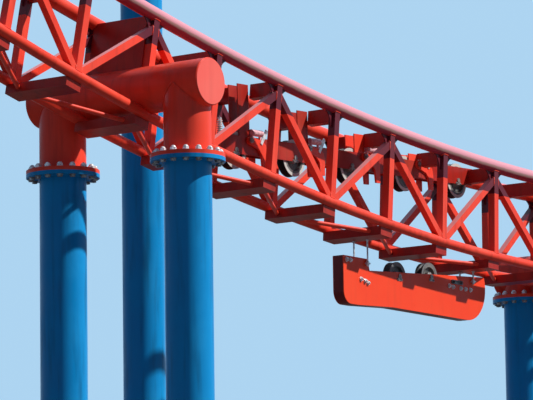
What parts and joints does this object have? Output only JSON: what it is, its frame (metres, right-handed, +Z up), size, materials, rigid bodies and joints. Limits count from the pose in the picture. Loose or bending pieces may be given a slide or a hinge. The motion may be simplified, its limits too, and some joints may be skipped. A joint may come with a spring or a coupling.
{
  "type": "launch coaster track section",
  "caption": "Box-lattice track section of a launch coaster: curved pipe rails and chords on tubular portal columns, with cable guide sheaves and a hung sheave housing.",
  "frame": {"origin": "underside of the base plate of the near column of portal 1, on the column's axis", "axes": "+X down the track, towards portal 2; +Y from the near columns to the far columns; +Z up"},
  "size_m": [17.3938, 5.4848, 12.4],
  "materials": {
    "red_paint": "gloss paint, weathered",
    "dark_red_paint": "satin paint, weathered",
    "blue_paint": "gloss paint",
    "zinc_steel": "zinc-plated steel",
    "sheave_iron": "worn cast iron"
  },
  "bodies": {
    "structure": {"near_rail": "red_paint", "far_rail": "red_paint", "near_lower_chord": "red_paint", "far_lower_chord": "red_paint", "near_web": "red_paint", "far_web": "red_paint", "near_rail_gussets": "red_paint", "far_rail_gussets": "red_paint", "top_ties": "dark_red_paint", "bottom_ties": "dark_red_paint", "bottom_bracing": "red_paint", "splice_flanges": "red_paint", "crosshead_1": "red_paint", "crosshead_2": "red_paint", "crosshead_caps": "red_paint", "saddle": "dark_red_paint", "near_stub_1": "red_paint", "far_stub_1": "red_paint", "near_stub_2": "red_paint", "far_stub_2": "red_paint", "near_column_1": "blue_paint", "far_column_1": "blue_paint", "near_column_2": "blue_paint", "far_column_2": "blue_paint", "tall_column": "blue_paint", "feet": "blue_paint", "sheave_beam": "dark_red_paint", "sheave_axles": "zinc_steel", "sheave_levers": "red_paint", "lever_cylinders": "red_paint", "lever_bars": "zinc_steel", "housing_near_plate": "red_paint", "housing_far_plate": "red_paint", "housing_rim": "dark_red_paint", "housing_hangers": "zinc_steel"},
    "sheave_3_wheel": {"sheave_3": "sheave_iron"},
    "sheave_4_wheel": {"sheave_4": "sheave_iron"},
    "sheave_5_wheel": {"sheave_5": "sheave_iron"},
    "sheave_6_wheel": {"sheave_6": "sheave_iron"},
    "sheave_7_wheel": {"sheave_7": "sheave_iron"},
    "low_sheave_1_wheel": {"low_sheave_1": "sheave_iron"},
    "low_sheave_2_wheel": {"low_sheave_2": "sheave_iron"}
  },
  "joints": [
    {"name": "sheave_3_spin", "type": "hinge", "parent": "structure", "child": "sheave_3_wheel", "pos_m": [2.42786, 1.099, 9.027], "axis": [0, 1, 0], "continuous": true},
    {"name": "sheave_4_spin", "type": "hinge", "parent": "structure", "child": "sheave_4_wheel", "pos_m": [3.80043, 1.099, 9.08453], "axis": [0, 1, 0], "continuous": true},
    {"name": "sheave_5_spin", "type": "hinge", "parent": "structure", "child": "sheave_5_wheel", "pos_m": [5.17745, 1.099, 9.14224], "axis": [0, 1, 0], "continuous": true},
    {"name": "sheave_6_spin", "type": "hinge", "parent": "structure", "child": "sheave_6_wheel", "pos_m": [6.55793, 1.099, 9.2001], "axis": [0, 1, 0], "continuous": true},
    {"name": "sheave_7_spin", "type": "hinge", "parent": "structure", "child": "sheave_7_wheel", "pos_m": [7.9409, 1.099, 9.25807], "axis": [0, 1, 0], "continuous": true},
    {"name": "low_sheave_1_spin", "type": "hinge", "parent": "structure", "child": "low_sheave_1_wheel", "pos_m": [6.32, 1.099, 7.685], "axis": [0, 1, 0], "continuous": true},
    {"name": "low_sheave_2_spin", "type": "hinge", "parent": "structure", "child": "low_sheave_2_wheel", "pos_m": [7.15, 1.099, 7.755], "axis": [0, 1, 0], "continuous": true}
  ]
}
